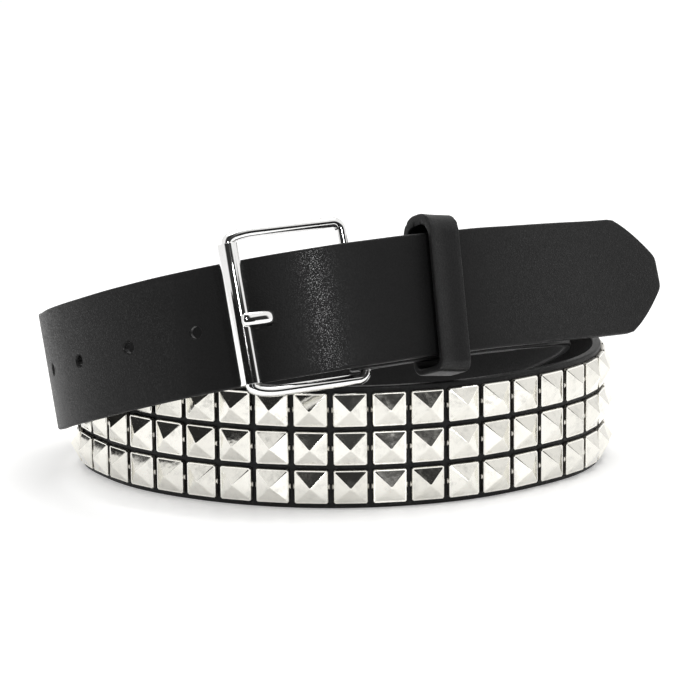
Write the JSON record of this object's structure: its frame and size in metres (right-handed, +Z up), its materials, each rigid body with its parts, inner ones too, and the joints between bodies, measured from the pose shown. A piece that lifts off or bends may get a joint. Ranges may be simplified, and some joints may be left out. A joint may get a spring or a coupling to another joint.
{
  "type": "studded belt",
  "caption": "Leather belt set with rows of pyramid studs, roller buckle fastened, coiled in turns and standing on its edge.",
  "frame": {"origin": "middle of the belt's box, on the surface that the coil stands on", "axes": "+Z up along the strap's width, +X to the pointed tip's side, +Y away from the buckle's side"},
  "size_m": [0.2052, 0.1888, 0.0884],
  "materials": {
    "strap_leather": "semi-matt black, fine grain",
    "keeper_leather": "semi-matt black, fine grain",
    "stud_nickel": "polished nickel",
    "buckle_chrome": "polished",
    "rivet_steel": "plain steel"
  },
  "bodies": {
    "belt": {"strap": "strap_leather", "stud_field": "stud_nickel", "buckle_frame": "buckle_chrome", "buckle_prong": "buckle_chrome", "keeper_loop": "keeper_leather", "fold_rivet_1": "rivet_steel", "fold_rivet_2": "rivet_steel"},
    "roller": {"buckle_roller": "buckle_chrome"}
  },
  "joints": [
    {"name": "roller_spin", "type": "hinge", "parent": "belt", "child": "roller", "pos_m": [-0.03376, -0.08582, 0.06229], "axis": [-0.1638, 0.257, 0.9524], "continuous": true}
  ]
}
